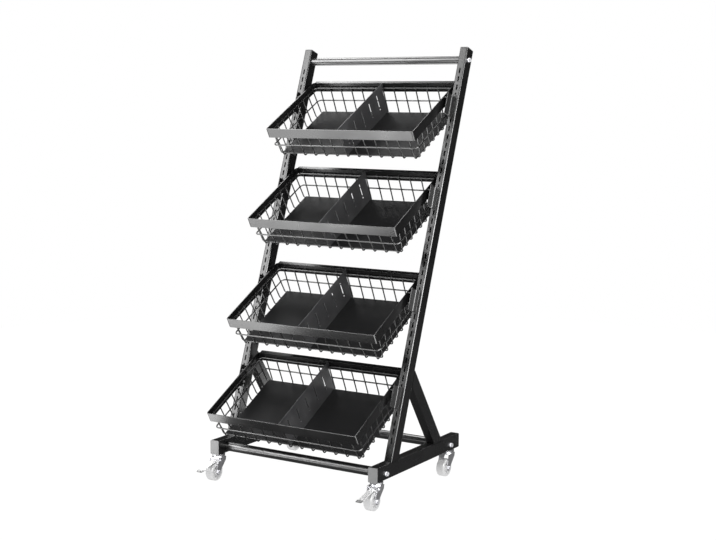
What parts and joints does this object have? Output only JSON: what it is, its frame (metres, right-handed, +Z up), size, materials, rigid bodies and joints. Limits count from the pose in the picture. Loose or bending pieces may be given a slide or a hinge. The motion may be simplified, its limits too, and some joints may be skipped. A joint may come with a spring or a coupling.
{
  "type": "produce display stand",
  "caption": "Leaning slotted frame on swivel casters that carries a column of tilted, divided wire baskets for loose fruit and vegetables.",
  "frame": {"origin": "on the floor, midway between the two runners and halfway along them", "axes": "+Z is up, -Y points to the shopper's side that the baskets tilt to, +X is the shopper's right"},
  "size_m": [0.6942, 0.7145, 1.5],
  "materials": {
    "frame_black": "semi-gloss black powder coat",
    "basket_black": "semi-gloss black powder coat over welded wire and strip",
    "sheet_black": "satin black powder coat on sheet",
    "cap_grey": "fine-grained grey plastic",
    "cap_black": "fine-grained black plastic",
    "plug_steel": "turned steel",
    "bolt_zinc": "bright zinc plate",
    "bearing_steel": "dark zinc plate",
    "fork_chrome": "bright plated pressed steel",
    "axle_zinc": "bright zinc plate",
    "pedal_steel": "grey plated pressed steel",
    "wheel_plastic": "white moulded plastic",
    "tyre_pale": "pale grey smooth rubber"
  },
  "bodies": {
    "frame": {"runner_left": "frame_black", "runner_right": "frame_black", "front_crossbar": "frame_black", "rear_crossbar": "frame_black", "upright_left": "frame_black", "upright_right": "frame_black", "brace_left": "frame_black", "brace_right": "frame_black", "top_bar": "frame_black", "runner_end_caps": "cap_grey", "upright_caps": "cap_black", "bar_end_plugs": "plug_steel", "frame_bolts": "bolt_zinc", "caster_stems": "bearing_steel", "stem_nuts": "bolt_zinc"},
    "basket_1": {"basket_1_rim": "basket_black", "basket_1_wires": "basket_black", "basket_1_floor": "sheet_black", "basket_1_hangers": "basket_black"},
    "divider_1": {"basket_1_divider": "sheet_black"},
    "basket_2": {"basket_2_rim": "basket_black", "basket_2_wires": "basket_black", "basket_2_floor": "sheet_black", "basket_2_hangers": "basket_black"},
    "divider_2": {"basket_2_divider": "sheet_black"},
    "basket_3": {"basket_3_rim": "basket_black", "basket_3_wires": "basket_black", "basket_3_floor": "sheet_black", "basket_3_hangers": "basket_black"},
    "divider_3": {"basket_3_divider": "sheet_black"},
    "basket_4": {"basket_4_rim": "basket_black", "basket_4_wires": "basket_black", "basket_4_floor": "sheet_black", "basket_4_hangers": "basket_black"},
    "divider_4": {"basket_4_divider": "sheet_black"},
    "caster_front_left": {"caster_front_left_fork": "fork_chrome", "caster_front_left_axle": "axle_zinc"},
    "caster_front_left_roller": {"caster_front_left_wheel": "wheel_plastic", "caster_front_left_tyre": "tyre_pale"},
    "caster_front_left_brake": {"caster_front_left_pedal": "pedal_steel"},
    "caster_front_right": {"caster_front_right_fork": "fork_chrome", "caster_front_right_axle": "axle_zinc"},
    "caster_front_right_roller": {"caster_front_right_wheel": "wheel_plastic", "caster_front_right_tyre": "tyre_pale"},
    "caster_front_right_brake": {"caster_front_right_pedal": "pedal_steel"},
    "caster_rear_left": {"caster_rear_left_fork": "fork_chrome", "caster_rear_left_axle": "axle_zinc"},
    "caster_rear_left_roller": {"caster_rear_left_wheel": "wheel_plastic", "caster_rear_left_tyre": "tyre_pale"},
    "caster_rear_right": {"caster_rear_right_fork": "fork_chrome", "caster_rear_right_axle": "axle_zinc"},
    "caster_rear_right_roller": {"caster_rear_right_wheel": "wheel_plastic", "caster_rear_right_tyre": "tyre_pale"}
  },
  "joints": [
    {"name": "basket_1_lift", "type": "slide", "parent": "frame", "child": "basket_1", "axis": [0, 0.342, 0.9397], "range_m": [0, 0.009]},
    {"name": "divider_1_pull", "type": "slide", "parent": "basket_1", "child": "divider_1", "axis": [0, -0.4818, 0.8763], "range_m": [0, 0.12]},
    {"name": "basket_2_lift", "type": "slide", "parent": "frame", "child": "basket_2", "axis": [0, 0.342, 0.9397], "range_m": [0, 0.009]},
    {"name": "divider_2_pull", "type": "slide", "parent": "basket_2", "child": "divider_2", "axis": [0, -0.4818, 0.8763], "range_m": [0, 0.09]},
    {"name": "basket_3_lift", "type": "slide", "parent": "frame", "child": "basket_3", "axis": [0, 0.342, 0.9397], "range_m": [0, 0.009]},
    {"name": "divider_3_pull", "type": "slide", "parent": "basket_3", "child": "divider_3", "axis": [0, -0.4818, 0.8763], "range_m": [0, 0.09]},
    {"name": "basket_4_lift", "type": "slide", "parent": "frame", "child": "basket_4", "axis": [0, 0.342, 0.9397], "range_m": [0, 0.009]},
    {"name": "divider_4_pull", "type": "slide", "parent": "basket_4", "child": "divider_4", "axis": [0, -0.4818, 0.8763], "range_m": [0, 0.09]},
    {"name": "caster_front_left_swivel", "type": "hinge", "parent": "frame", "child": "caster_front_left", "pos_m": [-0.3225, -0.255, 0.078], "axis": [0, 0, 1], "continuous": true},
    {"name": "caster_front_left_roll", "type": "hinge", "parent": "caster_front_left", "child": "caster_front_left_roller", "pos_m": [-0.3225, -0.283, 0.0315], "axis": [1, 0, 0], "continuous": true},
    {"name": "caster_front_left_brake", "type": "hinge", "parent": "caster_front_left", "child": "caster_front_left_brake", "pos_m": [-0.3225, -0.271, 0.07], "axis": [1, 0, 0], "range_deg": [0, 6]},
    {"name": "caster_front_right_swivel", "type": "hinge", "parent": "frame", "child": "caster_front_right", "pos_m": [0.3225, -0.255, 0.078], "axis": [0, 0, 1], "continuous": true},
    {"name": "caster_front_right_roll", "type": "hinge", "parent": "caster_front_right", "child": "caster_front_right_roller", "pos_m": [0.3225, -0.283, 0.0315], "axis": [1, 0, 0], "continuous": true},
    {"name": "caster_front_right_brake", "type": "hinge", "parent": "caster_front_right", "child": "caster_front_right_brake", "pos_m": [0.3225, -0.271, 0.07], "axis": [1, 0, 0], "range_deg": [0, 6]},
    {"name": "caster_rear_left_swivel", "type": "hinge", "parent": "frame", "child": "caster_rear_left", "pos_m": [-0.3225, 0.23, 0.078], "axis": [0, 0, 1], "continuous": true},
    {"name": "caster_rear_left_roll", "type": "hinge", "parent": "caster_rear_left", "child": "caster_rear_left_roller", "pos_m": [-0.3225, 0.202, 0.0315], "axis": [1, 0, 0], "continuous": true},
    {"name": "caster_rear_right_swivel", "type": "hinge", "parent": "frame", "child": "caster_rear_right", "pos_m": [0.3225, 0.23, 0.078], "axis": [0, 0, 1], "continuous": true},
    {"name": "caster_rear_right_roll", "type": "hinge", "parent": "caster_rear_right", "child": "caster_rear_right_roller", "pos_m": [0.3225, 0.202, 0.0315], "axis": [1, 0, 0], "continuous": true}
  ]
}
